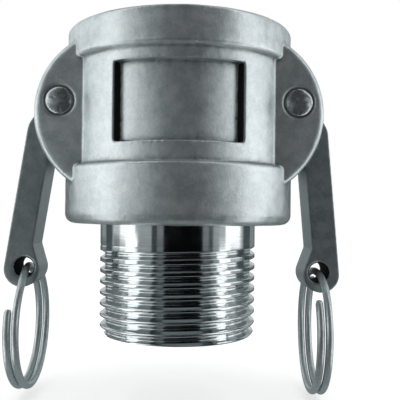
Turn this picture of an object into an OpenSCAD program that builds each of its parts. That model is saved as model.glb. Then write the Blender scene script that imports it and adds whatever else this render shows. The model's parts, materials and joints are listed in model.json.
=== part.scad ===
// Cam-and-groove hose coupler, one inch size: a cast female socket with two cam arms
// that clamp a grooved adapter against a gasket, on a tail with a male taper pipe thread.
// Millimetres. +Z runs along the bore from the tail's end face (Z = 0) to the socket's mouth,
// the arms stand along X, and the front is toward -Y.

/* [Tail] */
// Diameter of the thread's crests at its gauge plane
thread_d = 33.25; // [32.5:0.05:34]
// Distance from the tail's end face to the gauge plane
thread_gauge = 10.4; // [8:0.1:13]
// Length of the threaded stretch
thread_len = 18.8; // [15:0.1:23]
// Length along the axis over which the thread's diameter grows by one
thread_taper = 16; // [14:1:20]
// Distance between the thread's crests
thread_pitch = 2.309; // [1.8:0.001:2.4]
// Depth of the thread from its crests to its valleys
thread_depth = 1.42; // [0.8:0.01:1.48]
// Share of the pitch that a crest is wide
thread_crest = 0.1; // [0.05:0.01:0.2]
// Height at which the lowest crest starts, as a share of the pitch
thread_start = 0.15; // [0.15:0.01:0.4]
// Length over which the thread runs out into the neck
thread_runout = 1.3; // [0.6:0.1:2]
// Steps round the thread
thread_steps = 36; // [24:1:48]
// Chamfer on the tail's end
tail_chamfer = 0.6; // [0.4:0.1:1.6]
// Diameter of the plain neck above the thread
neck_d = 32.8; // [31:0.1:34]
// Length of the plain neck
neck_len = 4.1; // [3:0.1:7]
// Diameter of the flow bore
flow_d = 24.5; // [20:0.1:25.5]

/* [Body] */
// Diameter of the skirt round the gasket
skirt_d = 47.4; // [46:0.1:50]
// Height of the skirt
skirt_h = 11.5; // [11:0.1:14]
// Radius of the skirt's lower edge
skirt_round = 1.9; // [1:0.1:3.2]
// Diameter of the waist between the skirt and the rim
waist_d = 44.4; // [43:0.1:46]
// Height of the waist
waist_h = 20.9; // [20:0.1:26]
// Diameter of the rim round the mouth
rim_d = 46.7; // [45.5:0.1:50]
// Height of the rim
rim_h = 6.7; // [6:0.1:10]
// Radius of the cast body's small outer edges
edge_round = 0.6; // [0.2:0.05:0.9]
// Radius of the cast fillets where the waist meets the skirt and the rim
cast_fillet = 0.5; // [0.2:0.05:0.8]

/* [Panel] */
// Width of the sunk panel, straight across
panel_w = 24; // [16:0.5:26]
// Height of the sunk panel
panel_h = 14.7; // [10:0.1:15.5]
// Height of the panel's lower edge above the skirt
panel_up = 3.8; // [2:0.1:5]
// Depth of the sunk panel
panel_depth = 1.7; // [0.5:0.1:2]

/* [Socket] */
// Diameter of the socket's bearing lands
socket_d = 37.2; // [36.8:0.05:37.8]
// Depth by which the bore is relieved between its two lands
socket_relief = 0.2; // [0.1:0.05:0.4]
// Height of the lower land above the gasket groove
lower_land = 2.4; // [1.5:0.1:3.5]
// Lead-in chamfer at the mouth
mouth_chamfer = 1.2; // [0.5:0.1:2]
// Thickness of the floor under the gasket
floor_t = 4.1; // [3:0.1:5]

/* [Gasket] */
// Outside diameter of the gasket
gasket_od = 39.6; // [39:0.1:40.6]
// Inside diameter of the gasket
gasket_id = 27; // [26:0.1:29]
// Thickness of the gasket
gasket_t = 6.35; // [5:0.05:6.8]
// Radius of the gasket's edges
gasket_round = 0.7; // [0.3:0.1:1.2]
// Room round and above the gasket in its groove
gasket_clear = 0.15; // [0.05:0.05:0.4]

/* [Ears] */
// Distance from the socket's land out to the arms' pivots
pivot_out = 4.7; // [4.5:0.1:6]
// Height of the pivots above the skirt
pivot_up = 12.4; // [12:0.1:13]
// Radius of the ears' outline
ear_r = 16.3; // [15.5:0.1:17]
// Distance from the pivot to the ears' outer edge
ear_edge = 5; // [4.5:0.1:6]
// Height of the pivot above the centre of the ears' outline
ear_drop = 2.2; // [1:0.1:3]
// Thickness of one ear
ear_t = 7.6; // [5:0.1:9]
// Radius of the ears' outer edges
ear_round = 1.2; // [0.4:0.1:2]
// Height of the cam window above the pivot
window_up = 7.7; // [7.4:0.1:8]

/* [Pins] */
// Diameter of the pivot pins
pin_d = 5.6; // [4:0.1:6]
// Height of the domed ends that stand out from the ears
pin_dome = 0.5; // [0.2:0.05:1]
// Radial room between a pin and the ears that hold it
pin_seat_clear = 0.02; // [0.01:0.01:0.04]
// Radial room between a pin and the arm that turns on it
pin_run_clear = 0.05; // [0.02:0.01:0.09]
// Depth of the countersink round each pin end
pin_sink = 0.4; // [0.1:0.05:0.8]

/* [Arms] */
// Width of an arm between its ears
arm_w = 8.8; // [7:0.1:11]
// Thickness of an arm's bar
arm_t = 5.2; // [4:0.1:6]
// Distance from the pivot out to the bar's inner face
arm_in = 1.95; // [1.8:0.05:3]
// Distance from the pivot down to the ring's hole
arm_len = 34.1; // [30:0.1:40]
// Room on each side of an arm
arm_side_clear = 0.3; // [0.2:0.05:0.6]
// Wall round the pin in the arm's hub
hub_wall = 1.5; // [1.2:0.1:1.5]
// Radius of the rounded shoulder over the hub
shoulder_r = 5; // [4:0.1:6]
// Depth of the shoulder's centre below the pivot
shoulder_drop = 6; // [5:0.1:7]
// Radius of the cam
cam_r = 5.8; // [5.4:0.1:6]
// Distance of the cam's centre from the pivot
cam_offset = 2.1; // [1.6:0.1:2.2]
// Angle of the cam's centre below the inward direction
cam_dip = 30; // [20:1:40]
// Radius of the fillet between the cam and the bar
cam_fillet = 2; // [1:0.1:3]
// Radius of the groove that the cam's hollow face fits
groove_r = 16.3; // [15.8:0.1:17]
// Room between the cam's sweep and its window
window_clear = 0.7; // [0.4:0.1:1.2]
// Radius of the eye at the arm's end
eye_r = 3.7; // [3.3:0.1:4.5]
// Drop of the eye's centre below its hole
eye_drop = 0.5; // [0:0.1:0.8]
// Diameter of the ring's hole
eye_hole_d = 4; // [3.6:0.1:4.4]
// Distance from the bar's outer face in to the ring's hole
eye_hole_in = 4.1; // [3.7:0.1:4.4]
// Chamfer on the ring's hole
eye_chamfer = 0.35; // [0.1:0.05:0.6]
// Height above the hole at which the bar's inner face swells into the eye
eye_swell = 5; // [4.5:0.1:7]
// Lean of the left arm out from the bore's axis
left_lean = 9.2; // [0:0.1:20]
// Lean of the right arm out from the bore's axis
right_lean = 5.1; // [0:0.1:20]

/* [Rings] */
// Diameter of the ring wire
wire_d = 1.5; // [1.2:0.05:1.5]
// Diameter of the ring along the middle of its wire
ring_d = 25.1; // [20:0.1:30]
// Distance between the ring's two turns, wire middle to wire middle
ring_pitch = 1.65; // [1.62:0.01:2.3]
// Room between the wire and the hole it hangs in
ring_clear = 0.4; // [0.3:0.05:0.6]
// Angle from the top to the left ring's free end, on the front
left_ring_end = 67; // [52:1:90]
// Angle from the top to the right ring's free end, on the front
right_ring_end = 53; // [52:1:90]
// Angle from the top to a ring's other end, on the back
ring_back_end = 35; // [34:1:90]
// Angle either side of the top within which the wire crosses from one turn to the other
ring_cross = 50; // [45:1:50]
// Turn of the left ring about the upright, its front to the left
left_ring_turn = 1.3; // [0:0.1:4]
// Turn of the right ring about the upright, its front to the left
right_ring_turn = 2.9; // [0:0.1:4]
// Steps along a full turn of wire
ring_steps = 48; // [24:1:60]
// Sides of the wire's section
wire_sides = 10; // [6:1:12]

/* [Hidden] */

$fn = 96;
over = 1; // reach of a cut past the face it leaves through

cast_steel = [0.72, 0.75, 0.76];
arm_steel = [0.36, 0.39, 0.40];
pin_steel = [0.55, 0.58, 0.59];
wire_steel = [0.66, 0.69, 0.70];
black_rubber = [0.07, 0.07, 0.07];

z_skirt = thread_len + neck_len;
z_waist = z_skirt + skirt_h;
z_rim = z_waist + waist_h;
z_top = z_rim + rim_h;
z_seat = z_skirt + floor_t;
z_groove = z_seat + gasket_t + gasket_clear;

tail_r0 = (thread_d - thread_gauge / thread_taper) / 2;
// Number of crests up one side of the tail
thread_turns = floor(thread_len / thread_pitch + 0.5 - thread_start);
// Points of one crest, from its valley up: height as a share of the pitch, share of the depth
thread_points = [[-0.5, 1], [-thread_crest / 2, 0], [thread_crest / 2, 0]];
// Least height between neighbouring points up one side of the thread
thread_least = 0.1;
// Depth by which the tail's upper end lies inside the neck
tail_tuck = 0.4;
socket_r = socket_d / 2;
groove_wall_r = gasket_od / 2 + gasket_clear;

pivot_x = socket_r + pivot_out;
pivot_z = z_waist + pivot_up;
slot_w = arm_w + 2 * arm_side_clear;
ear_face = slot_w / 2 + ear_t;
ear_x = pivot_x + ear_edge - ear_r;
ear_z = pivot_z - ear_drop;
window_z0 = pivot_z - cam_offset - cam_r - window_clear;
window_z1 = pivot_z + window_up;

pin_r = pin_d / 2;
hub_r = pin_r + hub_wall;
arm_out = arm_in + arm_t;
eye_x = arm_out - eye_r;
eye_z = -arm_len - eye_drop;
hole_x = arm_out - eye_hole_in;
cam_at = cam_offset * [-cos(cam_dip), -sin(cam_dip)];
shoulder_at = [arm_out - shoulder_r, -shoulder_drop];

ring_r = ring_d / 2;
// Fall of a ring's wire between the top of its arc and the arm's faces
ring_fall = ring_r - sqrt(ring_r * ring_r - arm_w * arm_w / 4);
// Height of the top of the wire's arc above the hole's axis
ring_top = ring_fall - (eye_hole_d - wire_d) / 2 + ring_clear;

// Where a point of the right arm's plane comes to stand when the arm leans out
function arm_point(p, lean) = [
    pivot_x + p[0] * cos(lean) - p[1] * sin(lean),
    pivot_z + p[0] * sin(lean) + p[1] * cos(lean)
];

// Touch points of the line that runs outside two circles, on the left going from p to q
function touch(p, pr, q, qr) =
    let (run = q - p, far = norm(run), along = atan2(run[1], run[0]), swing = acos((pr - qr) / far),
         out = [cos(along + swing), sin(along + swing)])
    [p + pr * out, q + qr * out];

// A disc whose outer edge is rounded on its top face
module rounded_disc(r, thick, round) {
    rotate_extrude() {
        square([r - round, thick]);
        square([r, thick - round]);
        translate([r - round, thick - round]) circle(round);
    }
}

// Radius of the thread at a height and a share of its depth, with the end chamfer, the run-out and
// the crests no wider than the neck that they are cut from
function thread_radius(z, share) =
    let (crest = tail_r0 + z / thread_taper / 2, run = (z - thread_len) / thread_runout + 1,
         out = eased(min(1, max(0, run))))
    min(tail_r0 - tail_chamfer + z, neck_d / 2,
        (crest - share * thread_depth) * (1 - out) + neck_d / 2 * out);

// Height and depth share of each thread point up the side of the tail at a share of a turn
function thread_side(turn) = [
    for (n = [0:thread_turns - 1], point = thread_points)
        [thread_pitch * (n + turn + thread_start + point[0]), point[1]]
];

// Radius and height of the points up one side of the tail, from its end face into the neck
function tail_side(turn) =
    let (side = thread_side(turn), count = len(side))
    concat(
        [[tail_r0 - tail_chamfer, 0]],
        [for (i = [0:count - 1])
            let (low = thread_least * (i + 1), high = thread_len - thread_least * (count - i),
                 z = min(high, max(low, side[i][0])))
            [thread_radius(z, side[i][1]), z]],
        [[neck_d / 2 - tail_tuck, thread_len + over]]
    );

// The tail with its right-hand thread; its last side meets the first one crest higher up
module threaded_tail() {
    rows = len(thread_points) * thread_turns + 2;
    top = rows - 1;
    points = [for (i = [0:thread_steps - 1], p = tail_side(i / thread_steps))
        [p[0] * cos(360 * i / thread_steps), p[0] * sin(360 * i / thread_steps), p[1]]];
    walls = [for (i = [0:thread_steps - 1])
        let (a = i * rows, b = (i + 1) % thread_steps * rows,
             rise = i < thread_steps - 1 ? 0 : len(thread_points))
        each concat(
            [[a, a + 1, b + rise + 1]],
            [for (j = [1:rise + 1]) [a, b + j, b + j - 1]],
            [for (j = [1:top - rise - 2])
                each [[a + j, a + j + 1, b + j + rise + 1], [a + j, b + j + rise + 1, b + j + rise]]],
            [for (j = [top - rise - 1:top - 1]) [b + top - 1, a + j, a + j + 1]],
            [[b + top - 1, a + top, b + top]]
        )];
    caps = [[for (i = [0:thread_steps - 1]) i * rows],
            [for (i = [thread_steps - 1:-1:0]) i * rows + top]];
    polyhedron(points, concat(walls, caps));
}

// Half profile of the body's outside above the thread, from the axis out
module body_outline() {
    translate([0, thread_len]) square([neck_d / 2, neck_len + floor_t]);
    translate([0, z_skirt]) {
        square([skirt_d / 2 - skirt_round, skirt_h]);
        translate([0, skirt_round]) square([skirt_d / 2, skirt_h - skirt_round - edge_round]);
        translate([0, skirt_round]) square([skirt_d / 2 - edge_round, skirt_h - skirt_round]);
        translate([skirt_d / 2 - skirt_round, skirt_round]) circle(skirt_round);
        translate([skirt_d / 2 - edge_round, skirt_h - edge_round]) circle(edge_round);
    }
    translate([0, z_waist]) square([waist_d / 2, waist_h]);
    translate([waist_d / 2, z_waist]) corner_fillet(cast_fillet);
    translate([waist_d / 2, z_rim]) mirror([0, 1]) corner_fillet(cast_fillet);
    translate([0, z_rim]) {
        square([rim_d / 2 - edge_round, rim_h]);
        translate([0, edge_round]) square([rim_d / 2, rim_h - 2 * edge_round]);
        for (z = [edge_round, rim_h - edge_round])
            translate([rim_d / 2 - edge_round, z]) circle(edge_round);
    }
}

// Fill of an inside corner at the origin, between the axes' positive sides
module corner_fillet(r) {
    difference() {
        square(r);
        translate([r, r]) circle(r);
    }
}

// Half profile of the way through: flow bore, gasket groove, socket lands and mouth
module bore_outline() {
    translate([0, -over]) square([flow_d / 2, z_seat + 2 * over]);
    translate([0, z_seat]) square([groove_wall_r, z_groove - z_seat]);
    translate([0, z_seat]) square([socket_r, z_top - z_seat + over]);
    translate([0, z_groove + lower_land])
        square([socket_r + socket_relief, window_z1 - z_groove - lower_land]);
    polygon([[0, z_top - mouth_chamfer], [socket_r, z_top - mouth_chamfer],
             [socket_r + mouth_chamfer + over, z_top + over], [0, z_top + over]]);
}

// The four ears of one body, each a round-edged plate beside an arm's slot
module ears() {
    for (side = [-1, 1], face = [-1, 1])
        translate([side * ear_x, face * slot_w / 2, ear_z])
            rotate([-90 * face, 0, 0]) rounded_disc(ear_r, ear_t, ear_round);
}

// Cuts for the cams, the pivot pins and their countersinks
module ear_cuts() {
    for (side = [-1, 1]) {
        translate([side * (socket_r + over), 0, (window_z0 + window_z1) / 2])
            cube([waist_d - socket_d, slot_w, window_z1 - window_z0], center = true);
        translate([side * pivot_x, 0, pivot_z]) rotate([90, 0, 0]) {
            cylinder(r = pin_r + pin_seat_clear, h = 2 * (ear_face + over), center = true);
            for (face = [0, 1]) mirror([0, 0, face])
                translate([0, 0, ear_face - pin_sink])
                    cylinder(r1 = pin_r + pin_seat_clear, r2 = pin_r + pin_seat_clear + pin_sink + over,
                             h = pin_sink + over);
        }
    }
}

// Sunk panels on the front and the back of the waist
module panel_cuts() {
    half_angle = asin(panel_w / waist_d);
    for (turn = [90, 270])
        rotate(turn - half_angle)
            rotate_extrude(angle = 2 * half_angle)
                translate([waist_d / 2 - panel_depth, z_waist + panel_up])
                    square([panel_depth + over, panel_h]);
}

module coupler_body() {
    color(cast_steel)
        difference() {
            union() {
                threaded_tail();
                rotate_extrude() body_outline();
                intersection() {
                    ears();
                    translate([0, 0, z_skirt])
                        cylinder(r = pivot_x + 2 * ear_edge, h = z_top - edge_round - z_skirt);
                }
            }
            rotate_extrude() bore_outline();
            ear_cuts();
            panel_cuts();
        }
}

module gasket() {
    wide = (gasket_od - gasket_id) / 2;
    color(black_rubber)
        translate([0, 0, z_seat])
            rotate_extrude()
                translate([gasket_id / 2, 0]) {
                    translate([gasket_round, 0]) square([wide - 2 * gasket_round, gasket_t]);
                    translate([0, gasket_round]) square([wide, gasket_t - 2 * gasket_round]);
                    for (x = [gasket_round, wide - gasket_round],
                         y = [gasket_round, gasket_t - gasket_round])
                        translate([x, y]) circle(gasket_round);
                }
}

// A pin from ear face to ear face, with a low dome on each end
module pivot_pin() {
    dome_r = (pin_r * pin_r + pin_dome * pin_dome) / (2 * pin_dome);
    color(pin_steel)
        translate([pivot_x, 0, pivot_z])
            rotate([90, 0, 0]) {
                cylinder(r = pin_r, h = 2 * ear_face, center = true);
                for (end = [0, 1]) mirror([0, 0, end])
                    intersection() {
                        translate([0, 0, ear_face + pin_dome - dome_r]) sphere(dome_r);
                        translate([0, 0, ear_face]) cylinder(r = pin_r, h = pin_dome + over);
                    }
            }
}

// Outline of an arm in its own plane: the pivot at the origin, outward to +x, the bar down
module arm_outline() {
    shoulder = touch([0, 0], hub_r, shoulder_at, shoulder_r);
    swell = touch([arm_in, -arm_len + eye_swell], 0, [eye_x, eye_z], -eye_r);
    circle(hub_r);
    translate(shoulder_at)
        intersection() {
            circle(shoulder_r);
            square(shoulder_r);
        }
    polygon([[0, 0], shoulder_at, shoulder[1], shoulder[0]]);
    translate(cam_at) circle(cam_r);
    polygon([[arm_in, -shoulder_drop], swell[0], swell[1], [eye_x, eye_z], [arm_out, eye_z],
             [arm_out, -shoulder_drop]]);
    translate([eye_x, eye_z]) circle(eye_r);
    cam_web();
}

// Fillet between the cam's underside and the bar's inner face
module cam_web() {
    web_x = arm_in - cam_fillet;
    web_z = cam_at[1] - sqrt(pow(cam_r + cam_fillet, 2) - pow(web_x - cam_at[0], 2));
    web_at = [web_x, web_z];
    difference() {
        polygon([cam_at, web_at, [arm_in + over, web_z], [arm_in + over, cam_at[1]]]);
        translate(web_at) circle(cam_fillet);
    }
}

// The right arm with its bar along the bore's axis, turning on the origin
module arm_upright() {
    difference() {
        rotate([90, 0, 0]) linear_extrude(arm_w, center = true) arm_outline();
        rotate([90, 0, 0]) cylinder(r = pin_r + pin_run_clear, h = arm_w + 2 * over, center = true);
        translate([-pivot_x, 0, 0])
            cylinder(r = groove_r, h = 2 * (cam_r + cam_offset + over), center = true);
        translate([hole_x, 0, -arm_len]) rotate([90, 0, 0]) {
            cylinder(d = eye_hole_d, h = arm_w + 2 * over, center = true);
            for (face = [0, 1]) mirror([0, 0, face])
                translate([0, 0, arm_w / 2 - eye_chamfer])
                    cylinder(d1 = eye_hole_d, d2 = eye_hole_d + 2 * (eye_chamfer + over),
                             h = eye_chamfer + over);
        }
    }
}

module cam_arm(lean) {
    color(arm_steel) translate([pivot_x, 0, pivot_z]) rotate([0, -lean, 0]) arm_upright();
}

// Share of the way from one turn to the other, eased at both ends
function eased(share) = share * share * (3 - 2 * share);

// Sideways place of a ring's wire at an angle along it; it passes the hole at 360 degrees
function ring_side(angle) =
    let (share = (angle - 360 + ring_cross) / (2 * ring_cross))
    ring_pitch * (eased(min(1, max(0, share))) - 0.5);

// Point at a height off the wire's middle line and a distance across it
function ring_point(angle, off, across) = [
    ring_side(angle) + across,
    -(ring_r + off) * sin(angle),
    ring_top - ring_r + (ring_r + off) * cos(angle)
];

// Angles along one ring's wire: from its free end on the front, round the bottom and the back,
// through the arm's hole at the top, and round again to its end on the back
function ring_angles(free_end) =
    let (last = 720 - ring_back_end, count = ceil((last - free_end) * ring_steps / 360))
    [for (i = [0:count]) free_end + (last - free_end) * i / count];

// Least gap between stretches of wire that lie half a turn or more apart along it
function ring_gap(angles) =
    min([for (a = angles, b = angles)
        if (b - a > 180) norm(ring_point(a, 0, 0) - ring_point(b, 0, 0))]) - wire_d;

module split_ring(free_end) {
    angles = ring_angles(free_end);
    last = len(angles) - 1;
    sides = wire_sides;
    points = [for (a = angles, j = [0:sides - 1])
        ring_point(a, wire_d / 2 * cos(360 * j / sides), wire_d / 2 * sin(360 * j / sides))];
    walls = [for (i = [0:last - 1], j = [0:sides - 1])
        let (k = (j + 1) % sides, a = i * sides, b = a + sides)
        each [[a + j, a + k, b + k], [a + j, b + k, b + j]]];
    caps = [for (j = [1:sides - 2])
        each [[0, j + 1, j], [last * sides, last * sides + j, last * sides + j + 1]]];
    echo("least gap between a ring's turns", ring_gap(angles));
    polyhedron(points, concat(walls, caps));
}

// A ring hung from the eye of an arm on the given side
module pull_ring(side, lean, free_end, turn) {
    hole = arm_point([hole_x, -arm_len], lean);
    color(wire_steel) translate([side * hole[0], 0, hole[1]]) rotate(-turn) split_ring(free_end);
}

module left_pivot_pin() mirror([1, 0, 0]) pivot_pin();
module right_pivot_pin() pivot_pin();
module left_cam_arm() mirror([1, 0, 0]) cam_arm(left_lean);
module right_cam_arm() cam_arm(right_lean);
module left_pull_ring() pull_ring(-1, left_lean, left_ring_end, left_ring_turn);
module right_pull_ring() pull_ring(1, right_lean, right_ring_end, right_ring_turn);

coupler_body();
gasket();
left_pivot_pin();
right_pivot_pin();
left_cam_arm();
right_cam_arm();
left_pull_ring();
right_pull_ring();
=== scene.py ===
"""Dresses a cam-and-groove hose coupling in a plain pale studio.

A satin cast body with a turned pipe-thread tail, two cam arms on pivot pins, split pull rings
and a rubber gasket. Every length is in metres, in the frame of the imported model.
"""
import json
import logging
import math
from dataclasses import dataclass
from enum import Enum

import bmesh
import bpy
import numpy as np
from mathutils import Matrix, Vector, noise


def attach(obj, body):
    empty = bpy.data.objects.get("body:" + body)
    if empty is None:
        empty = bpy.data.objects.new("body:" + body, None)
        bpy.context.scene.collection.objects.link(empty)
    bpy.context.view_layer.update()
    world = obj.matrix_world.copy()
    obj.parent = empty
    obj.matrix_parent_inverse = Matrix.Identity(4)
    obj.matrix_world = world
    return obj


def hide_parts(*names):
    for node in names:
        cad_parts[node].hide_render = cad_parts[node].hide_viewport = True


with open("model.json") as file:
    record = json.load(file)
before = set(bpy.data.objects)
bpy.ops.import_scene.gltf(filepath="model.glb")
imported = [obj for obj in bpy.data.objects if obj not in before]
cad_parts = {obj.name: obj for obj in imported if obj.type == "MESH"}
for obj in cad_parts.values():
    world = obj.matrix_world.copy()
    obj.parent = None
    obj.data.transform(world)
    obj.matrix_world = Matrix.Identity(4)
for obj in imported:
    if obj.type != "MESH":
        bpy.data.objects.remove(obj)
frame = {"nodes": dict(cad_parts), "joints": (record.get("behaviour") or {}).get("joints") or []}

Triple = tuple[float, float, float]
Color = Triple
Span = tuple[float, float]
Profile = list[tuple[float, float]]
Mesh = bpy.types.Mesh
Piece = bpy.types.Object
Material = bpy.types.Material
Shape = bmesh.types.BMesh
Tree = bpy.types.NodeTree
Socket = bpy.types.NodeSocket
Value = Socket | float | tuple

LOG = logging.getLogger("coupling")
MM = 0.001
WELD = 0.001 * MM
LEAST_SQUARE = 1e-14
SMOOTHING = 0.5
FULL_TURN = 2 * math.pi
NOISE_SPAN = (0.3, 0.7)
ROUND_Z = (0.02, 0.02, 1)
COOL = (0.87, 1.0, 1.03)


class Slot(Enum):
    """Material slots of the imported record."""

    CAST = "cast_steel"
    ARM = "arm_steel"
    PIN = "pin_steel"
    WIRE = "wire_steel"
    RUBBER = "black_rubber"


class Side(Enum):
    """The two arms, by the sign of the X axis that they stand on."""

    LEFT = -1
    RIGHT = 1

    @property
    def word(self) -> str:
        """The side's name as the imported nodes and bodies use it."""
        return self.name.lower()


def joint_at(name: str) -> Span:
    """Finds where a packed joint's axis crosses the plane of the arms.

    Args:
        name: The joint's name.

    Returns:
        The place as (X, Z).
    """
    x, _, z = next(joint["pos_m"] for joint in frame["joints"] if joint["name"] == name)
    return x, z


PIVOT = joint_at("right_arm_pivot")


def add_object(name: str, data: bpy.types.ID) -> Piece:
    """Puts a mesh, a camera or a lamp into the scene.

    Args:
        name: The object's name.
        data: What it holds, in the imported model's frame.

    Returns:
        The new object, at the origin.
    """
    piece = bpy.data.objects.new(name, data)
    bpy.context.scene.collection.objects.link(piece)
    return piece


def to_mesh(name: str, shape: Shape, sharp: float | None = None) -> Mesh:
    """Turns a finished shape into a mesh and frees it.

    Args:
        name: The mesh's name.
        shape: The shape in work.
        sharp: Angle in degrees from which an edge stays sharp, if any does.

    Returns:
        A smooth shaded mesh.
    """
    mesh = bpy.data.meshes.new(name)
    shape.to_mesh(mesh)
    shape.free()
    mesh.shade_smooth()
    if sharp is not None:
        mesh.set_sharp_from_angle(angle=math.radians(sharp))
    return mesh


def keep_evaluated(piece: Piece) -> None:
    """Replaces a piece's mesh by what its modifiers make of it, and removes them.

    Args:
        piece: The object to settle.
    """
    graph = bpy.context.evaluated_depsgraph_get()
    mesh = bpy.data.meshes.new_from_object(piece.evaluated_get(graph))
    piece.modifiers.clear()
    piece.data = mesh


def welded(*meshes: Mesh, reach: float = WELD) -> Shape:
    """Copies meshes into one shape and welds the points that meet.

    Args:
        meshes: The meshes to copy.
        reach: Distance up to which points become one.

    Returns:
        The welded shape.
    """
    shape = bmesh.new()
    for mesh in meshes:
        shape.from_mesh(mesh)
    bmesh.ops.remove_doubles(shape, verts=shape.verts, dist=reach)
    return shape


def lathe(profile: Profile, segments: int, closed: bool = False) -> Shape:
    """Turns a half profile round the Z axis.

    Args:
        profile: Points as (radius, height); a radius of zero becomes a pole.
        segments: Steps round the axis.
        closed: True if the last point joins the first.

    Returns:
        The turned shape.
    """
    shape = bmesh.new()
    rings = []
    turn = [FULL_TURN * step / segments for step in range(segments)]
    for radius, height in profile:
        spots = [(radius * math.cos(a), radius * math.sin(a), height) for a in turn]
        rings.append([shape.verts.new(spot) for spot in (spots if radius else [(0, 0, height)])])
    pairs = list(zip(rings, rings[1:])) + ([(rings[-1], rings[0])] if closed else [])
    for low, high in pairs:
        for step in range(segments):
            after = (step + 1) % segments
            corners = [low[step % len(low)], low[after % len(low)],
                       high[after % len(high)], high[step % len(high)]]
            shape.faces.new(list(dict.fromkeys(corners)))
    bmesh.ops.recalc_face_normals(shape, faces=shape.faces)
    return shape


def arc(middle: Span, radius: float, start: float, end: float, steps: int) -> Profile:
    """Points along a round stretch of a profile.

    Args:
        middle: The arc's centre as (radius, height).
        radius: The arc's own radius.
        start: First angle in degrees, from the radial direction towards +Z.
        end: Last angle in degrees.
        steps: Number of straight steps.

    Returns:
        The points, both ends included.
    """
    angles = [math.radians(start + (end - start) * step / steps) for step in range(steps + 1)]
    return [(middle[0] + radius * math.cos(a), middle[1] + radius * math.sin(a)) for a in angles]


def read_points(mesh: Mesh, field: str = "co") -> np.ndarray:
    """Reads a vector of every vertex.

    Args:
        mesh: The mesh to read.
        field: The vertices' field.

    Returns:
        One row of three numbers for each vertex.
    """
    flat = np.empty(len(mesh.vertices) * 3, np.float32)
    mesh.vertices.foreach_get(field, flat)
    return flat.reshape(-1, 3)


def write_points(mesh: Mesh, points: np.ndarray) -> None:
    """Moves every vertex to its row of points.

    Args:
        mesh: The mesh to change.
        points: One row for each vertex.
    """
    mesh.vertices.foreach_set("co", points.astype(np.float32).ravel())
    mesh.update()


def mark(mesh: Mesh, name: str, values: np.ndarray) -> None:
    """Stores a number between 0 and 1 for each vertex, for the finishes to read.

    Args:
        mesh: The mesh to mark.
        name: The attribute's name.
        values: One number for each vertex.
    """
    store = mesh.attributes.new(name, "FLOAT", "POINT")
    store.data.foreach_set("value", np.clip(values, 0, 1).astype(np.float32))


def mark_edges(mesh: Mesh, gain: float, spread: int) -> None:
    """Stores how the surface bends as "edge": 0.5 where flat, more on outer edges.

    Args:
        mesh: A dense, even mesh.
        gain: Change of the value for a curvature of one per metre.
        spread: Passes that spread the value to neighbouring vertices.
    """
    points = read_points(mesh)
    normals = read_points(mesh, "normal")
    count = len(points)
    ends = np.empty(len(mesh.edges) * 2, np.int32)
    mesh.edges.foreach_get("vertices", ends)
    first, second = ends[::2], ends[1::2]
    run = points[second] - points[first]
    swing = ((normals[second] - normals[first]) * run).sum(1)
    bend = swing / np.maximum((run * run).sum(1), LEAST_SQUARE)
    degree = np.bincount(ends, minlength=count).clip(1)
    value = (np.bincount(first, bend, count) + np.bincount(second, bend, count)) / degree
    for _ in range(spread):
        shared = np.bincount(first, value[second], count) + np.bincount(second, value[first], count)
        value = (value + shared / degree) / 2
    mark(mesh, "edge", 0.5 + gain * value)


def cleared(block: Material | bpy.types.World) -> Tree:
    """Turns on the nodes of a material or world and empties their tree.

    Args:
        block: The material or world.

    Returns:
        Its empty tree.
    """
    block.use_nodes = True
    block.node_tree.nodes.clear()
    return block.node_tree


class Bench:
    """Lays out the nodes of one material or node group."""

    def __init__(self, tree: Tree) -> None:
        """Takes the tree that the nodes go into."""
        self.tree = tree

    def node(self, kind: str, **settings: object) -> bpy.types.Node:
        """Adds a node.

        Args:
            kind: The node's type name.
            settings: Its own properties.

        Returns:
            The new node.
        """
        made = self.tree.nodes.new(kind)
        for key, value in settings.items():
            setattr(made, key, value)
        return made

    def feed(self, socket: Socket, value: Value) -> None:
        """Links a socket to another one, or sets it to a plain value.

        Args:
            socket: The input to feed.
            value: The other socket, or the plain value.
        """
        if isinstance(value, Socket):
            self.tree.links.new(value, socket)
        else:
            socket.default_value = value

    def run(self, kind: str, feeds: dict[str | int, Value], output: str | int = 0,
            **settings: object) -> Socket:
        """Adds a node and feeds its inputs.

        Args:
            kind: The node's type name.
            feeds: Values by the inputs' names or numbers.
            output: Name or number of the output that is wanted.
            settings: The node's own properties.

        Returns:
            The wanted output.
        """
        made = self.node(kind, **settings)
        for key, value in feeds.items():
            self.feed(made.inputs[key], value)
        return made.outputs[output]

    def end(self, kind: str, last: Socket) -> None:
        """Closes the tree with its output node."""
        self.feed(self.node(kind).inputs[0], last)

    def math(self, operation: str, *values: Value, clamp: bool = False) -> Socket:
        """Works out one step of arithmetic, held between 0 and 1 if clamp is set."""
        feeds = dict(enumerate(values))
        return self.run("ShaderNodeMath", feeds, operation=operation, use_clamp=clamp)

    def plus(self, first: Value, second: Value) -> Socket:
        """The sum of two values."""
        return self.math("ADD", first, second)

    def less(self, first: Value, second: Value) -> Socket:
        """The first value less the second."""
        return self.math("SUBTRACT", first, second)

    def times(self, first: Value, second: Value) -> Socket:
        """The product of two values."""
        return self.math("MULTIPLY", first, second)

    def over(self, first: Value, second: Value) -> Socket:
        """The first value divided by the second."""
        return self.math("DIVIDE", first, second)

    def between(self, value: Value, low: Value, high: Value, to_low: Value = 0.0,
                to_high: Value = 1.0, smooth: bool = False) -> Socket:
        """Maps a value from one range to another and holds it there.

        Args:
            value: The value to map.
            low: Start of its range.
            high: End of its range.
            to_low: Result at the start.
            to_high: Result at the end.
            smooth: True to ease at both ends.

        Returns:
            The result's socket.
        """
        feeds = dict(enumerate((value, low, high, to_low, to_high)))
        ease = "SMOOTHSTEP" if smooth else "LINEAR"
        return self.run("ShaderNodeMapRange", feeds, interpolation_type=ease)


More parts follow.
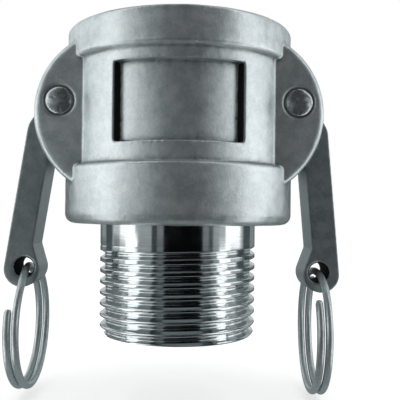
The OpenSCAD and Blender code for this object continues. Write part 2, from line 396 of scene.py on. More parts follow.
class Shader(Bench):
    """One surface material round a single principled shader."""

    def __init__(self, name: str) -> None:
        """Starts an empty material with its shader and output.

        Args:
            name: The material's name.
        """
        self.material = bpy.data.materials.new(name)
        super().__init__(cleared(self.material))
        self.shader = self.node("ShaderNodeBsdfPrincipled")
        self.end("ShaderNodeOutputMaterial", self.shader.outputs[0])
        self.place = self.run("ShaderNodeTexCoord", {}, "Object")

    def axes(self) -> tuple[Socket, ...]:
        """The three coordinates of the surface point, as sockets.

        Returns:
            X, Y and Z.
        """
        split = self.node("ShaderNodeSeparateXYZ")
        self.feed(split.inputs[0], self.place)
        return tuple(split.outputs)

    def radius(self) -> Socket:
        """The point's distance from the bore's axis."""
        x, y, _ = self.axes()
        return self.math("SQRT", self.plus(self.times(x, x), self.times(y, y)))

    def speckle(self, size: float, detail: float = 2.0, stretch: Triple = (1, 1, 1)) -> Socket:
        """Noise over the surface.

        Args:
            size: Width of its patches, in metres.
            detail: How much finer noise is laid over it.
            stretch: Factors on the three coordinates.

        Returns:
            A value round 0.5.
        """
        turned = self.run("ShaderNodeMapping", {"Vector": self.place, "Scale": stretch})
        feeds = {"Vector": turned, "Scale": 1 / size, "Detail": detail}
        return self.run("ShaderNodeTexNoise", feeds)

    def stored(self, name: str) -> Socket:
        """A number that the mesh stores for each vertex."""
        return self.run("ShaderNodeAttribute", {}, "Fac", attribute_name=name)

    def mix(self, share: Value, first: Value, second: Value) -> Socket:
        """Blends two colours, each a socket or three numbers, by the second one's share."""
        first, second = ((*c, 1) if isinstance(c, tuple) else c for c in (first, second))
        return self.run("ShaderNodeMix", {0: share, 6: first, 7: second}, 2, data_type="RGBA")

    def relief(self, height: Value, depth: float, strength: Value = 1.0) -> None:
        """Gives the surface fine relief that rises by depth, in metres, for a height of one."""
        feeds = {"Distance": depth, "Strength": strength, "Height": height}
        self.feed(self.shader.inputs["Normal"], self.run("ShaderNodeBump", feeds))

    def finish(self, color: Value, roughness: Value, metallic: float) -> Material:
        """Sets the shader's main inputs.

        Args:
            color: Base colour.
            roughness: Roughness.
            metallic: One for bare metal, zero for rubber.

        Returns:
            The finished material.
        """
        feeds = {"Base Color": color, "Roughness": roughness, "Metallic": metallic}
        for name, value in feeds.items():
            self.feed(self.shader.inputs[name], value)
        return self.material


@dataclass(frozen=True)
class CastFinish:
    """Blasted cast steel with a fine grain, and turned inside the socket where one is given."""

    name: str
    dark: Color
    light: Color
    rough: float
    grain: float = 0.42 * MM
    mottle: float = 1.9 * MM
    grain_share: float = 0.4
    tone_span: Span = (0.38, 0.62)
    relief: float = 0.03 * MM
    polish_span: Span = (0.56, 0.85)
    polish_share: float = 0.15
    polish_gain: float = 1.1
    # Painted shade in concave creases, read from the "edge" value.
    hollow_span: Span = (0.30, 0.47)
    hollow_share: float = 0.5
    # Colour of painted shade where the mesh stores "scale": sunk panel walls, eye bores and the
    # gaps round the pins.
    scale: Color = (0.02, 0.023, 0.024)
    scale_rough: float = 0.85
    rough_spread: float = 0.03
    metal: float = 0.83
    turned_radius: float = 0.0
    turned_height: float = 0.0
    turned_edge: float = 0.15 * MM
    turned_line: float = 0.25 * MM
    turned_rough: Span = (0.16, 0.24)

    def material(self) -> Material:
        """Builds the finish's material.

        Returns:
            The new material.
        """
        make = Shader(self.name)
        grain = make.speckle(self.grain, detail=3.0)
        mottle = make.speckle(self.mottle)
        edge, scale = make.stored("edge"), make.stored("scale")
        tone = make.plus(make.times(grain, self.grain_share),
                         make.times(mottle, 1 - self.grain_share))
        color = make.mix(make.between(tone, *self.tone_span), self.dark, self.light)
        polished = make.between(edge, *self.polish_span)
        bright = tuple(min(1, c * self.polish_gain) for c in self.light)
        color = make.mix(make.times(polished, self.polish_share), color, bright)
        # Painted shade: darker in concave creases, darkest and rougher where the mesh stores
        # "scale".
        painted_crease_shade = make.between(edge, *self.hollow_span, self.hollow_share, 0.0)
        color = make.mix(make.math("MAXIMUM", painted_crease_shade, scale), color, self.scale)
        uneven = make.between(mottle, *NOISE_SPAN, self.rough - self.rough_spread,
                              self.rough + self.rough_spread)
        rough = make.plus(uneven, make.between(polished, 0.0, 1.0, 0.0, -self.rough_spread))
        rough = make.between(scale, 0.0, 1.0, rough, self.scale_rough)
        show = 1.0
        if self.turned_radius:
            _, _, z = make.axes()
            inside = make.between(make.radius(), self.turned_radius,
                                  self.turned_radius - self.turned_edge)
            turned = make.times(inside, make.math("GREATER_THAN", z, self.turned_height))
            lines = make.speckle(self.turned_line, detail=1.0, stretch=ROUND_Z)
            color = make.mix(turned, color, make.mix(lines, self.dark, self.light))
            smooth = make.between(lines, *NOISE_SPAN, *self.turned_rough)
            rough = make.between(turned, 0.0, 1.0, rough, smooth)
            show = make.less(1.0, turned)
        make.relief(grain, self.relief, show)
        return make.finish(color, rough, self.metal)


@dataclass(frozen=True)
class TurnedFinish:
    """Turned steel with fine tool lines along one axis."""

    name: str
    dark: Color
    light: Color
    rough: float
    line: float = 0.16 * MM
    relief: float = 0.0015 * MM
    along: Triple = ROUND_Z
    metal: float = 1.0
    haze: float = 3 * MM
    line_span: Span = (0.35, 0.65)
    line_rough: float = 0.02
    rough_span: Span = (-0.02, 0.03)

    def material(self) -> Material:
        """Builds the finish's material.

        Returns:
            The new material.
        """
        make = Shader(self.name)
        lines = make.speckle(self.line, stretch=self.along)
        haze = make.speckle(self.haze)
        color = make.mix(make.between(lines, *self.line_span), self.dark, self.light)
        uneven = make.between(haze, *NOISE_SPAN, *(self.rough + shift for shift in self.rough_span))
        make.relief(lines, self.relief)
        return make.finish(color, make.plus(uneven, make.times(lines, self.line_rough)), self.metal)


@dataclass(frozen=True)
class RubberFinish:
    """Matt moulded rubber."""

    name: str
    dark: Color
    light: Color
    rough: float
    bloom: float = 1.8 * MM
    bloom_span: Span = (0.35, 0.7)
    pores: float = 0.3 * MM
    relief: float = 0.02 * MM
    rough_spread: float = 0.05

    def material(self) -> Material:
        """Builds the finish's material.

        Returns:
            The new material.
        """
        make = Shader(self.name)
        bloom = make.speckle(self.bloom, detail=3.0)
        color = make.mix(make.between(bloom, *self.bloom_span), self.dark, self.light)
        make.relief(make.speckle(self.pores), self.relief)
        rough = make.between(bloom, *NOISE_SPAN, self.rough - self.rough_spread,
                             self.rough + self.rough_spread)
        return make.finish(color, rough, 0.0)


CAST = CastFinish("blasted_cast_steel", (0.575, 0.638, 0.655), (0.735, 0.792, 0.806), 0.36,
                  turned_radius=19.3 * MM, turned_height=26.8 * MM)
ARM = CastFinish("tumbled_arm_steel", (0.285, 0.33, 0.343), (0.375, 0.418, 0.432), 0.42,
                 grain=0.5 * MM)
TURNED = TurnedFinish("turned_steel", (0.70, 0.74, 0.75), (0.84, 0.87, 0.875), 0.10)
PIN = TurnedFinish("drawn_pin_steel", (0.42, 0.46, 0.47), (0.56, 0.60, 0.61), 0.24,
                   line=0.3 * MM, relief=0.002 * MM, along=(1, 0.05, 1), metal=0.88)
WIRE = TurnedFinish("drawn_ring_wire", (0.50, 0.56, 0.57), (0.66, 0.72, 0.73), 0.34,
                    line=0.2 * MM, relief=0.001 * MM, along=(1, 0.3, 0.3), metal=0.84)
RUBBER = RubberFinish("black_gasket_rubber", (0.018, 0.018, 0.019), (0.042, 0.042, 0.044), 0.62)


def remeshed(name: str, shape: Shape, voxel: float, rounds: int) -> Piece:
    """Rounds a sharp solid's edges as a casting's are.

    Args:
        name: The piece's name.
        shape: A closed shape.
        voxel: Width of the even mesh that it becomes.
        rounds: Smoothing passes.

    Returns:
        The softened piece.
    """
    piece = add_object(name, to_mesh(name, shape))
    grid = piece.modifiers.new("even_mesh", "REMESH")
    grid.mode = "VOXEL"
    grid.voxel_size = voxel
    grid.use_smooth_shade = True
    soften = piece.modifiers.new("soft_edges", "SMOOTH")
    soften.factor = SMOOTHING
    soften.iterations = rounds
    keep_evaluated(piece)
    return piece


def thin(piece: Piece, limit: int) -> None:
    """Takes faces out of a mesh where it is flattest.

    Args:
        piece: The piece with a dense mesh of four-sided faces.
        limit: Most triangles that it keeps.
    """
    fewer = piece.modifiers.new("fewer_faces", "DECIMATE")
    fewer.ratio = min(1, limit / (2 * len(piece.data.polygons)))
    keep_evaluated(piece)
    piece.data.shade_smooth()


def new_tree(name: str, sizes: dict[str, float],
             counts: dict[str, int]) -> tuple[Bench, dict[str, Socket]]:
    """Starts a geometry tree with named inputs.

    Args:
        name: The tree's name.
        sizes: Lengths, angles and shares, by their inputs' names.
        counts: Whole numbers, by their inputs' names.

    Returns:
        The bench that holds the tree, and its inputs' sockets by name.
    """
    tree = bpy.data.node_groups.new(name, "GeometryNodeTree")
    add = tree.interface.new_socket
    for kind, values in (("NodeSocketFloat", sizes), ("NodeSocketInt", counts)):
        for label, value in values.items():
            add(label, in_out="INPUT", socket_type=kind).default_value = value
    add("Material", in_out="INPUT", socket_type="NodeSocketMaterial")
    add("Mesh", in_out="OUTPUT", socket_type="NodeSocketGeometry")
    make = Bench(tree)
    return make, {socket.name: socket for socket in make.node("NodeGroupInput").outputs}


def finish_tree(make: Bench, mesh: Socket, material: Socket) -> None:
    """Ends a geometry tree with plain, smooth, dressed geometry.

    Args:
        make: The bench that holds the tree.
        mesh: The geometry so far.
        material: The material's socket.
    """
    plain = make.run("GeometryNodeRealizeInstances", {"Geometry": mesh})
    smooth = make.run("GeometryNodeSetShadeSmooth", {"Geometry": plain})
    coat = make.run("GeometryNodeSetMaterial", {"Geometry": smooth, "Material": material})
    make.end("NodeGroupOutput", coat)


def grown(name: str, tree: Tree, finish: Material) -> Piece:
    """Runs a geometry tree and keeps its mesh.

    Args:
        name: The piece's name.
        tree: The tree to run.
        finish: The material that the tree sets.

    Returns:
        A plain mesh object.
    """
    piece = add_object(name, bpy.data.meshes.new(name))
    run = piece.modifiers.new("grow", "NODES")
    run.node_group = tree
    run[tree.interface.items_tree["Material"].identifier] = finish
    keep_evaluated(piece)
    return piece


@dataclass
class Part:
    """One piece of the coupling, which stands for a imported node."""

    node: str
    body: str
    slot: Slot
    finish: Material

    def build(self) -> Piece:
        """Makes the piece, each kind in its own way."""
        raise NotImplementedError

    def dress(self) -> None:
        """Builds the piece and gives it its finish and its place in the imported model."""
        piece = self.build()
        piece.data.materials.clear()
        piece.data.materials.append(self.finish)
        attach(piece, self.body)
        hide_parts(self.node)
        LOG.info("%s: %d faces on %s", piece.name, len(piece.data.polygons), self.body)


@dataclass
class Casting(Part):
    """The cast body above the neck: skirt, waist with sunk panels, rim and ears."""

    cut: float = 21.5 * MM
    skirt_foot: float = 22.8 * MM
    stub: Span = (12.45 * MM, 16.2 * MM)
    voxel: float = 0.22 * MM
    rounds: int = 6
    limit: int = 180000
    edge_gain: float = 0.00028
    edge_spread: int = 3
    panel_half: float = math.radians(32.7)
    panel_low: float = 38.2 * MM
    panel_high: float = 52.9 * MM
    panel_floor: float = 20.5 * MM
    panel_wall: float = 0.35 * MM
    panel_slack: float = 0.3 * MM
    waist_radius: float = 22.2 * MM
    wall_gain: float = 4
    depth_gain: float = 6
    # Reach and strength of the painted shade in the gap round each pin.
    countersink: float = 3.15 * MM
    ring_scale: float = 0.55
    true_radii: tuple[float, ...] = (12.25 * MM, 18.6 * MM, 18.8 * MM, 19.95 * MM, 20.5 * MM,
                                     22.2 * MM, 23.35 * MM, 23.7 * MM)
    snap: float = 0.035 * MM
    skin: float = 0.014 * MM
    skin_size: float = 1.1 * MM
    swell: float = 0.03 * MM
    swell_size: float = 3.4 * MM
    turned_share: float = 0.15

    def build(self) -> Piece:
        """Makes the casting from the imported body.

        Returns:
            The casting's object.
        """
        shape = welded(frame["nodes"][self.node].data)
        everything = shape.verts[:] + shape.edges[:] + shape.faces[:]
        bmesh.ops.bisect_plane(shape, geom=everything, plane_co=(0, 0, self.cut),
                               plane_no=(0, 0, 1), clear_inner=True)
        bmesh.ops.bridge_loops(shape, edges=[e for e in shape.edges if e.is_boundary])
        bmesh.ops.recalc_face_normals(shape, faces=shape.faces)
        piece = remeshed("coupler_casting", shape, self.voxel, self.rounds)
        self._true_up(piece.data)
        self._roughen(piece.data)
        thin(piece, self.limit)
        mark_edges(piece.data, self.edge_gain, self.edge_spread)
        self._mark_scale(piece.data)
        return piece

    def _mark_scale(self, mesh: Mesh) -> None:
        """Marks painted shade on the sunk panels' upright walls and round the pins.

        Args:
            mesh: The casting's thinned mesh.
        """
        points = read_points(mesh).astype(np.float64)
        radius = np.hypot(points[:, 0], points[:, 1])
        aside = np.arctan2(np.abs(points[:, 0]), np.abs(points[:, 1])) - self.panel_half
        near = 1 - np.abs(aside) * radius / self.panel_wall
        depth = (self.waist_radius - radius) / (self.waist_radius - self.panel_floor)
        inside = (points[:, 2] > self.panel_low) & (points[:, 2] < self.panel_high)
        inside &= radius > self.panel_floor - self.panel_slack
        # Painted shade on the panels' upright walls, deeper into the recess, stored as "scale".
        wall = inside * np.clip(self.wall_gain * near, 0, 1)
        wall *= np.clip(self.depth_gain * depth, 0, 1)
        # Painted shade in the gap round each pin, stored as "scale".
        away = np.hypot(np.abs(points[:, 0]) - PIVOT[0], points[:, 2] - PIVOT[1])
        ring = np.clip((self.countersink - away) / self.voxel, 0, self.ring_scale)
        mark(mesh, "scale", np.maximum(wall, ring))

    def _true_up(self, mesh: Mesh) -> None:
        """Puts the rounds on their true radii, and draws the neck's stub into the tail.

        Args:
            mesh: The casting's dense mesh.
        """
        points = read_points(mesh).astype(np.float64)
        radius = np.hypot(points[:, 0], points[:, 1])
        wanted = radius.copy()
        for true in self.true_radii:
            wanted[np.abs(radius - true) < self.snap] = true
        low = points[:, 2] < self.skirt_foot
        wanted[low] = np.clip(radius[low], *self.stub)
        points[:, :2] *= (wanted / radius)[:, None]
        write_points(mesh, points)

    def _roughen(self, mesh: Mesh) -> None:
        """Lifts the cast skin a little up and down, less so in the turned socket.

        Args:
            mesh: The casting's dense mesh.
        """
        points = read_points(mesh).astype(np.float64)
        normals = read_points(mesh, "normal")
        radius = np.hypot(points[:, 0], points[:, 1])
        lift = np.array([self.skin * noise.noise(Vector(p) / self.skin_size)
                         + self.swell * noise.noise(Vector(p) / self.swell_size) for p in points])
        lift[radius < CAST.turned_radius] *= self.turned_share
        write_points(mesh, points + normals * lift[:, None])


@dataclass
class ThreadedTail(Part):
    """The turned neck and the taper pipe thread below the casting."""

    pitch: float = 2.309 * MM
    depth: float = 1.42 * MM
    end_radius: float = 16.3 * MM
    taper: float = 1 / 32
    length: float = 18.8 * MM
    chamfer: float = 0.6 * MM
    runout: float = 1.3 * MM
    neck_radius: float = 16.4 * MM
    neck_top: float = 22.95 * MM
    flow_radius: float = 12.25 * MM
    flow_chamfer: float = 0.6 * MM
    start: float = 0.15
    lead: float = 2.5
    spare_turns: int = 3
    segments: int = 192
    rows: int = 18
    sharp: float = 70

    def _tree(self) -> Tree:
        """Builds the node tree that winds one thread groove round a taper.

        Returns:
            The tree, with named inputs for its sizes.
        """
        sizes = {"Pitch": self.pitch, "Depth": self.depth, "End Radius": self.end_radius,
                 "Taper": self.taper, "Length": self.length, "Chamfer": self.chamfer,
                 "Runout": self.runout, "Neck Radius": self.neck_radius, "Start": self.start}
        turns = math.ceil(self.length / self.pitch) + self.spare_turns
        counts = {"Segments": self.segments, "Rows": self.rows, "Turns": turns}
        make, inputs = new_tree("taper_thread", sizes, counts)
        across = make.plus(inputs["Rows"], 1)
        along = make.plus(make.times(inputs["Turns"], inputs["Segments"]), 1)
        grid = make.run("GeometryNodeMeshGrid", {"Vertices X": along, "Vertices Y": across}, "Mesh")
        index = make.run("GeometryNodeInputIndex", {})
        line = make.math("FLOOR", make.over(make.plus(index, 0.5), across))
        turn = make.over(line, inputs["Segments"])
        share = make.over(make.less(index, make.times(across, line)), inputs["Rows"])
        wound = make.plus(turn, make.plus(share, inputs["Start"]))
        rise = make.times(inputs["Pitch"], make.less(wound, self.lead))
        height = make.math("MINIMUM", make.math("MAXIMUM", rise, 0.0), inputs["Length"])
        crest = make.plus(inputs["End Radius"], make.times(height, inputs["Taper"]))
        peak = make.less(1.0, make.math("ABSOLUTE", make.less(make.times(share, 2.0), 1.0)))
        groove = make.between(peak, 0.0, 1.0, 1.0, 0.0, smooth=True)
        fade = make.less(inputs["Length"], inputs["Runout"])
        top = make.between(height, fade, inputs["Length"], smooth=True)
        cut = make.math("MINIMUM", inputs["Neck Radius"],
                        make.less(crest, make.times(inputs["Depth"], groove)))
        blended = make.between(top, 0.0, 1.0, cut, inputs["Neck Radius"])
        bevel = make.plus(make.less(inputs["End Radius"], inputs["Chamfer"]), height)
        root = make.less(inputs["End Radius"], inputs["Depth"])
        row = make.over(inputs["Pitch"], inputs["Rows"])
        shown = make.math("GREATER_THAN", make.plus(rise, row), 0.0)
        radius = make.between(shown, 0.0, 1.0, root, make.math("MINIMUM", blended, bevel))
        angle = make.times(turn, FULL_TURN)
        point = make.run("ShaderNodeCombineXYZ", {
            0: make.times(radius, make.math("COSINE", angle)),
            1: make.times(radius, make.math("SINE", angle)), 2: height})
        placed = make.run("GeometryNodeSetPosition", {"Geometry": grid, "Position": point})
        joined = make.run("GeometryNodeMergeByDistance", {"Geometry": placed, "Distance": WELD})
        finish_tree(make, joined, inputs["Material"])
        return make.tree

    def build(self) -> Piece:
        """Makes the thread and closes it with the neck, the flow bore and the end face.

        Returns:
            The tail's object.
        """
        thread = grown("threaded_tail", self._tree(), self.finish)
        root = self.end_radius - self.depth
        bore = self.flow_radius
        profile = [(self.neck_radius, self.length), (self.neck_radius, self.neck_top),
                   (bore, self.neck_top), (bore, self.flow_chamfer),
                   (bore + self.flow_chamfer, 0), (root, 0)]
        core = to_mesh("tail_core", lathe(profile, self.segments))
        shape = welded(thread.data, core, reach=2 * WELD)
        bmesh.ops.dissolve_degenerate(shape, dist=WELD, edges=shape.edges)
        bmesh.ops.recalc_face_normals(shape, faces=shape.faces)
        thread.data = to_mesh("threaded_tail", shape, self.sharp)
        bpy.data.meshes.remove(core)
        return thread


@dataclass
class CamArm(Part):
    """One cam arm: hub, cam lobe, bar and eye."""

    side: Side
    hole: Span
    hole_radius: float = 2.0 * MM
    half_width: float = 4.4 * MM
    eye_bevel: float = 0.45 * MM
    eye_depth: float = 1.0 * MM
    voxel: float = 0.16 * MM
    rounds: int = 4
    limit: int = 120000
    edge_gain: float = 0.00016
    edge_spread: int = 2

    def build(self) -> Piece:
        """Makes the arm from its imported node, with softened edges.

        Returns:
            The arm's object.
        """
        shape = welded(frame["nodes"][self.node].data)
        piece = remeshed(f"{self.side.word}_arm_casting", shape, self.voxel, self.rounds)
        self._bevel_eye(piece.data)
        thin(piece, self.limit)
        mark_edges(piece.data, self.edge_gain, self.edge_spread)
        # Painted shade inside the eye's bore, stored as "scale".
        points = read_points(piece.data)
        inside = np.abs(points[:, 1]) < self.half_width - self.eye_bevel
        depth = self.hole_radius + 2 * self.voxel - self._from_eye(points)
        mark(piece.data, "scale", inside * depth / self.voxel)
        return piece

    def _from_eye(self, points: np.ndarray) -> np.ndarray:
        """Each point's distance from the eye's axis."""
        return np.hypot(points[:, 0] - self.hole[0], points[:, 2] - self.hole[1])

    def _bevel_eye(self, mesh: Mesh) -> None:
        """Breaks the eye's two rims with a small countersink.

        Args:
            mesh: The arm's dense mesh.
        """
        points = read_points(mesh).astype(np.float64)
        reach = self.hole_radius + self.eye_bevel
        drop = np.clip(reach - self._from_eye(points), 0, self.eye_bevel)
        outward = np.clip((np.abs(points[:, 1]) - self.half_width) / self.eye_depth + 1, 0, 1)
        points[:, 1] -= np.sign(points[:, 1]) * drop * outward
        write_points(mesh, points)


@dataclass
class PivotPin(Part):
    """One pivot pin with a peened dome on each end."""

    side: Side
    radius: float = 2.8 * MM
    half_length: float = 12.3 * MM
    dome: float = 0.5 * MM
    sink: float = 0.35 * MM
    dome_radius: float = 2.68 * MM
    segments: int = 64
    dome_steps: int = 16
    peen: float = 0.2 * MM
    peen_size: float = 2.1 * MM
    sharp: float = 30

    def build(self) -> Piece:
        """Turns the pin, peens its ends and lays it through its ears.

        Returns:
            The pin's object.
        """
        foot = self.half_length - self.sink
        rise = (self.dome + self.sink) / self.dome_radius
        bulge = arc((0, 0), self.dome_radius, 0, 90, self.dome_steps)[:-1]
        cap = [(self.radius, foot)] + [(r, foot + rise * h) for r, h in bulge]
        cap.append((0, self.half_length + self.dome))
        shape = lathe([(r, -h) for r, h in reversed(cap)] + cap, self.segments)
        sign = self.side.value
        for vert in shape.verts:
            x, y, z = vert.co
            if abs(z) > foot:
                blow = noise.noise(Vector((x, y, sign * self.half_length)) / self.peen_size)
                z += math.copysign(self.peen * blow, z)
            vert.co = (sign * PIVOT[0] + x, z, PIVOT[1] + y)
        shape.normal_update()
        bmesh.ops.recalc_face_normals(shape, faces=shape.faces)
        name = f"{self.side.word}_pin"
        return add_object(name, to_mesh(name, shape, self.sharp))


@dataclass
class PullRing(Part):
    """One split ring of drawn wire, hung in its arm's eye."""

    side: Side
    hole: Span
    free_end: float
    turn: float
    radius: float = 12.55 * MM
    wire: float = 0.75 * MM
    pitch: float = 1.65 * MM
    top: float = -0.0534 * MM
    cross: float = 50.0
    last: float = 685.0
    points: int = 240
    sides: int = 20
    end_share: float = 0.004
    end_scale: float = 0.72
    sharp: float = 50

    def _tree(self) -> Tree:
        """Builds the node tree that winds the wire.

        Returns:
            The tree, with named inputs for its sizes.
        """
        sizes = {"Ring Radius": self.radius, "Wire Radius": self.wire, "Turn Pitch": self.pitch,
                 "Top": self.top, "Free End": math.radians(self.free_end),
                 "Last End": math.radians(self.last), "Crossing": math.radians(self.cross),
                 "Hole X": self.hole[0], "Hole Z": self.hole[1],
                 "Turn": math.radians(self.turn)}
        counts = {"Points": self.points, "Sides": self.sides}
        make, inputs = new_tree(f"{self.side.word}_split_ring", sizes, counts)
        line = make.run("GeometryNodeMeshLine", {"Count": inputs["Points"]})
        index = make.run("GeometryNodeInputIndex", {})
        share = make.over(index, make.less(inputs["Points"], 1))
        angle = make.between(share, 0.0, 1.0, inputs["Free End"], inputs["Last End"])
        half = make.times(inputs["Turn Pitch"], 0.5)
        aside = make.between(angle, make.less(FULL_TURN, inputs["Crossing"]),
                             make.plus(FULL_TURN, inputs["Crossing"]),
                             make.times(half, -1.0), half, smooth=True)
        deep = make.times(make.times(inputs["Ring Radius"], -1.0), make.math("SINE", angle))
        drop = make.times(inputs["Ring Radius"], make.less(make.math("COSINE", angle), 1.0))
        sine, cosine = make.math("SINE", inputs["Turn"]), make.math("COSINE", inputs["Turn"])
        across = make.plus(make.times(aside, cosine), make.times(deep, sine))
        point = make.run("ShaderNodeCombineXYZ", {
            0: make.plus(inputs["Hole X"], across),
            1: make.less(make.times(deep, cosine), make.times(aside, sine)),
            2: make.plus(inputs["Hole Z"], make.plus(inputs["Top"], drop))})
        placed = make.run("GeometryNodeSetPosition", {"Geometry": line, "Position": point})
        path = make.run("GeometryNodeMeshToCurve", {"Mesh": placed})
        section = make.run("GeometryNodeCurvePrimitiveCircle",
                           {"Resolution": inputs["Sides"], "Radius": inputs["Wire Radius"]})
        along = make.run("GeometryNodeSplineParameter", {}, "Factor")
        near = make.math("MINIMUM", along, make.less(1.0, along))
        scale = make.between(near, 0.0, self.end_share, self.end_scale, 1.0)
        swept = make.run("GeometryNodeCurveToMesh", {
            "Curve": path, "Profile Curve": section, "Scale": scale, "Fill Caps": True})
        finish_tree(make, swept, inputs["Material"])
        return make.tree

    def build(self) -> Piece:
        """Winds the ring.

        Returns:
            The ring's object.
        """
        piece = grown(f"{self.side.word}_ring_wire", self._tree(), self.finish)
        shape = welded(piece.data)
        bmesh.ops.recalc_face_normals(shape, faces=shape.faces)
        piece.data = to_mesh(piece.name, shape, self.sharp)
        return piece


@dataclass
class Gasket(Part):
    """The flat moulded gasket under the socket."""

    seat: float = 27.0 * MM
    thick: float = 6.35 * MM
    inner: float = 13.5 * MM
    outer: float = 19.8 * MM
    round: float = 0.7 * MM
    seam: float = 0.08 * MM
    segments: int = 128
    steps: int = 6
    sharp: float = 28

    def build(self) -> Piece:
        """Turns the gasket with round edges and a mould seam inside.

        Returns:
            The gasket's object.
        """
        low, high = self.seat + self.round, self.seat + self.thick - self.round
        near, far = self.inner + self.round, self.outer - self.round
        middle = self.seat + self.thick / 2
        profile = (arc((far, low), self.round, -90, 0, self.steps)
                   + arc((far, high), self.round, 0, 90, self.steps)
                   + arc((near, high), self.round, 90, 180, self.steps)
                   + [(self.inner, middle + 2 * self.seam), (self.inner - self.seam, middle),
                      (self.inner, middle - 2 * self.seam)]
                   + arc((near, low), self.round, 180, 270, self.steps))
        shape = lathe(profile, self.segments, closed=True)
        return add_object("gasket_ring", to_mesh("gasket_ring", shape, self.sharp))


@dataclass(frozen=True)
class Panel:
    """A gore of the studio seen only in reflections, by its azimuths from the camera's side."""

    name: str
    start: float
    end: float
    near: float
    floor: float
    foot: float
    band: float
    upper: float
    ceiling: float

    def colors(self) -> tuple[Color, ...]:
        """Works out the zones' colours; the dimmer a zone is, the cooler.

        Returns:
            One colour for each zone, from the floor up.
        """
        levels = (self.near, self.floor, self.foot, self.band, self.upper, self.ceiling)
        return tuple(tuple(level * (cool + (1 - cool) * min(1, level)) for cool in COOL)
                     for level in levels)


PANELS = (
    Panel("front_left_flag", -19.5, 5, 0.18, 0.002, 0.0015, 0.1, 0.004, 0.004),
    Panel("front_right_flag", 5, 35.5, 0.18, 0.002, 0.0015, 0.01, 0.004, 0.004),
    Panel("left_inner_strip", -28.5, -19.5, 0.06, 0.12, 0.2, 0.25, 0.14, 0.12),
    Panel("left_inner_flag", -36.5, -28.5, 0.03, 0.04, 0.055, 0.4, 0.04, 0.04),
    Panel("left_reflector", -58, -36.5, 0.2, 0.27, 0.35, 1.1, 0.3, 0.27),
    Panel("left_bright_reflector", -62, -58, 0.2, 1.6, 0.36, 1.4, 1.6, 1.4),
    Panel("left_inner_softbox", -78, -62, 0.28, 1.6, 1.35, 1.7, 1.6, 1.5),
    Panel("left_softbox", -90, -78, 0.28, 0.5, 1.35, 1.65, 0.6, 0.5),
    Panel("left_softbox_edge", -113.5, -90, 0.28, 0.22, 0.6, 1.45, 0.75, 0.25),
    Panel("left_spill", -145, -113.5, 0.22, 0.18, 0.3, 0.95, 0.85, 0.25),
    Panel("back_left_flag", -158, -145, 0.12, 0.1, 0.12, 0.35, 0.3, 0.1),
    Panel("back_card", -202, -158, 0.2, 0.4, 0.6, 0.6, 0.4, 0.2),
    Panel("back_right_flag", -210, -202, 0.12, 0.1, 0.12, 0.35, 0.3, 0.1),
    Panel("right_spill", 123, 150, 0.22, 0.15, 0.25, 0.45, 0.45, 0.2),
    Panel("right_softbox_edge", 101, 123, 0.28, 0.2, 0.6, 0.95, 0.75, 0.25),
    Panel("right_softbox", 80, 101, 0.28, 0.4, 1.35, 1.8, 0.5, 0.4),
    Panel("right_inner_softbox", 71.5, 80, 0.28, 1.5, 1.35, 1.8, 1.5, 1.4),
    Panel("right_bright_reflector", 61, 71.5, 0.2, 1.7, 0.34, 1.25, 1.7, 1.6),
    Panel("right_reflector", 51, 61, 0.2, 0.26, 0.34, 1.05, 0.28, 0.26),
    Panel("right_inner_flag", 44.5, 51, 0.03, 0.08, 0.07, 0.75, 0.08, 0.08),
    Panel("right_inner_strip", 35.5, 44.5, 0.06, 0.1, 0.21, 0.6, 0.12, 0.11),
)


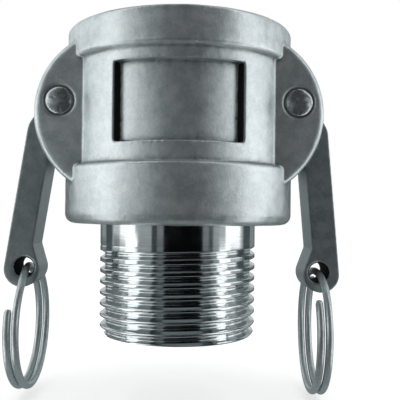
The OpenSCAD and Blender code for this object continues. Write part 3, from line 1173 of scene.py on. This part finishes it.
@dataclass
class Studio:
    """Camera, floor, light and the panels that the metal mirrors."""

    camera_at: Triple = (0, -128.1 * MM, 25.5 * MM)
    sensor: float = 36
    lens: float = 53.9
    roll: float = 0.615
    shift: Span = (0.0554, 0.0282)
    clip: float = 0.005
    floor_z: float = -14 * MM
    floor_size: float = 3.0
    floor_tone: float = 0.82
    floor_glow: float = 0.55
    near: float = 0.045
    drum: float = 0.5
    foot_high: float = 0.045
    band_high: float = 0.16
    drum_high: float = 0.62
    gore_inner: float = 0.002
    gore_lift: float = 0.0003
    gore_step: float = 6.0
    ambient: float = 0.55
    lamp_size: float = 0.8
    lamp_power: float = 1.6
    lamp_at: Triple = (0, -0.1, 0.9)

    def build(self) -> None:
        """Sets up the whole stage."""
        self._camera()
        self._world()
        self._floor()
        for panel in PANELS:
            self._panel(panel)
        self._lamp()
        bpy.context.scene.view_settings.view_transform = "Standard"

    def _camera(self) -> None:
        """Puts the camera where the photograph was taken."""
        data = bpy.data.cameras.new("camera")
        data.sensor_width = self.sensor
        data.lens = self.lens
        data.shift_x, data.shift_y = self.shift
        data.clip_start = self.clip
        camera = add_object("camera", data)
        camera.location = self.camera_at
        camera.rotation_euler = (math.radians(90), math.radians(-self.roll), 0)
        bpy.context.scene.camera = camera

    def _world(self) -> None:
        """Makes the white background, with softer light on matt surfaces."""
        world = bpy.data.worlds.new("studio")
        bpy.context.scene.world = world
        make = Bench(cleared(world))
        white = {"Color": (1, 1, 1, 1)}
        soft = make.run("ShaderNodeBackground", {**white, "Strength": self.ambient})
        full = make.run("ShaderNodeBackground", white)
        feeds = {0: self._seen(make), 1: soft, 2: full}
        make.end("ShaderNodeOutputWorld", make.run("ShaderNodeMixShader", feeds))

    def _seen(self, make: Bench) -> Socket:
        """One for rays from the camera and those that metal or glass send on.

        Args:
            make: The bench of the world or material that asks.

        Returns:
            One or zero.
        """
        path = make.node("ShaderNodeLightPath").outputs
        metal = make.plus(path["Is Glossy Ray"], path["Is Transmission Ray"])
        return make.math("ADD", path["Is Camera Ray"], metal, clamp=True)

    def _floor(self) -> None:
        """Lays the pale floor, which keeps the object's shadow."""
        half = self.floor_size / 2
        shape = bmesh.new()
        corners = [(-half, -half), (half, -half), (half, half), (-half, half)]
        shape.faces.new([shape.verts.new((x, y, self.floor_z)) for x, y in corners])
        floor = add_object("floor", to_mesh("floor", shape))
        material = bpy.data.materials.new("pale_floor")
        make = Bench(cleared(material))
        tone = (self.floor_tone, self.floor_tone, self.floor_tone, 1)
        matt = make.run("ShaderNodeBsdfDiffuse", {"Color": tone})
        strength = make.times(self._seen(make), self.floor_glow)
        glow = make.run("ShaderNodeEmission", {"Strength": strength})
        make.end("ShaderNodeOutputMaterial", make.run("ShaderNodeAddShader", {0: matt, 1: glow}))
        floor.data.materials.append(material)

    def _panel(self, panel: Panel) -> None:
        """Stands one gore round the object: a strip of floor, wall and ceiling.

        Args:
            panel: The gore's azimuths and brightness.
        """
        shape = bmesh.new()
        width = panel.end - panel.start
        steps = max(1, round(width / self.gore_step))
        low = self.floor_z + self.gore_lift
        lines = ((self.gore_inner, low), (self.near, low), (self.drum, low),
                 (self.drum, self.foot_high), (self.drum, self.band_high),
                 (self.drum, self.drum_high), (self.gore_inner, self.drum_high))
        columns = []
        for step in range(steps + 1):
            turn = math.radians(panel.start + width * step / steps)
            spots = [(r * math.sin(turn), -r * math.cos(turn), z) for r, z in lines]
            columns.append([shape.verts.new(spot) for spot in spots])
        for near, far in zip(columns, columns[1:]):
            for part in range(len(lines) - 1):
                face = shape.faces.new((near[part], far[part], far[part + 1], near[part + 1]))
                face.material_index = part
        card = add_object(panel.name, to_mesh(panel.name, shape))
        for color in panel.colors():
            card.data.materials.append(self._glow(panel.name, color))
        for ray in ("camera", "diffuse", "shadow", "transmission"):
            setattr(card, f"visible_{ray}", False)

    def _glow(self, name: str, color: Color) -> Material:
        """A card's even brightness as a material.

        Args:
            name: The material's name.
            color: The light's colour and strength.

        Returns:
            The new material.
        """
        material = bpy.data.materials.new(name)
        make = Bench(cleared(material))
        light = make.run("ShaderNodeEmission", {"Color": (*color, 1)})
        make.end("ShaderNodeOutputMaterial", light)
        return material

    def _lamp(self) -> None:
        """Hangs a wide soft lamp for the floor and the matt surfaces."""
        data = bpy.data.lights.new("overhead_softbox", "AREA")
        data.shape = "SQUARE"
        data.size = self.lamp_size
        data.energy = self.lamp_power
        lamp = add_object("overhead_softbox", data)
        lamp.location = self.lamp_at
        lamp.visible_glossy = False


def main() -> None:
    """Builds the studio, then the coupling piece by piece."""
    logging.basicConfig(level=logging.INFO, format="%(message)s")
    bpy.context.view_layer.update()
    Studio().build()
    Casting("coupler_body", "body", Slot.CAST, CAST.material()).dress()
    ThreadedTail("coupler_body", "body", Slot.CAST, TURNED.material()).dress()
    Gasket("gasket", "body", Slot.RUBBER, RUBBER.material()).dress()
    arm_steel, pin_steel, wire_steel = ARM.material(), PIN.material(), WIRE.material()
    ends = {Side.LEFT: 67.0, Side.RIGHT: 53.0}
    turns = {Side.LEFT: 1.3, Side.RIGHT: 2.9}
    for side in Side:
        word = side.word
        hole = joint_at(f"{word}_ring_swing")
        PivotPin(f"{word}_pivot_pin", "body", Slot.PIN, pin_steel, side).dress()
        CamArm(f"{word}_cam_arm", f"{word}_arm", Slot.ARM, arm_steel, side, hole).dress()
        PullRing(f"{word}_pull_ring", f"{word}_ring", Slot.WIRE, wire_steel, side, hole,
                 ends[side], turns[side]).dress()


if __name__ == "__main__":
    main()
